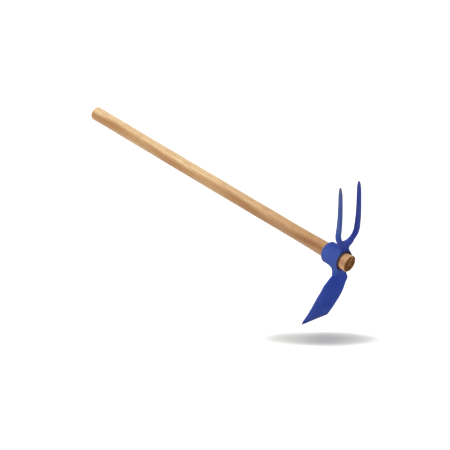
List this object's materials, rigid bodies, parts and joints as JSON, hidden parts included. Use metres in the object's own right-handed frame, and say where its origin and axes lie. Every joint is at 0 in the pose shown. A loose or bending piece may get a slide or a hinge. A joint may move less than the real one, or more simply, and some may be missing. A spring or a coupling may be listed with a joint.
{
  "type": "fork hoe",
  "caption": "Garden fork hoe: a forged blue head with a tined fork above the eye and a broad blade below it, on a turned wooden handle.",
  "frame": {"origin": "centre of the handle's front end, the flat end that shows in front of the eye; the point lies on the wedge's end, which is flush with it", "axes": "+X out of that end along the handle, away from the grip; +Z along the tines, away from the blade; +Y completes the frame"},
  "size_m": [0.78, 0.0682, 0.3339],
  "materials": {
    "blue_paint": "satin blue paint on forged steel, a little worn at the tine points and the cutting edge",
    "lacquered_wood": "turned straight-grained wood under clear lacquer, brown end grain",
    "wedge_wood": "bare wood, end grain showing"
  },
  "bodies": {
    "root": {"hoe_head": "blue_paint", "handle": "lacquered_wood", "wedge": "wedge_wood"}
  },
  "joints": []
}
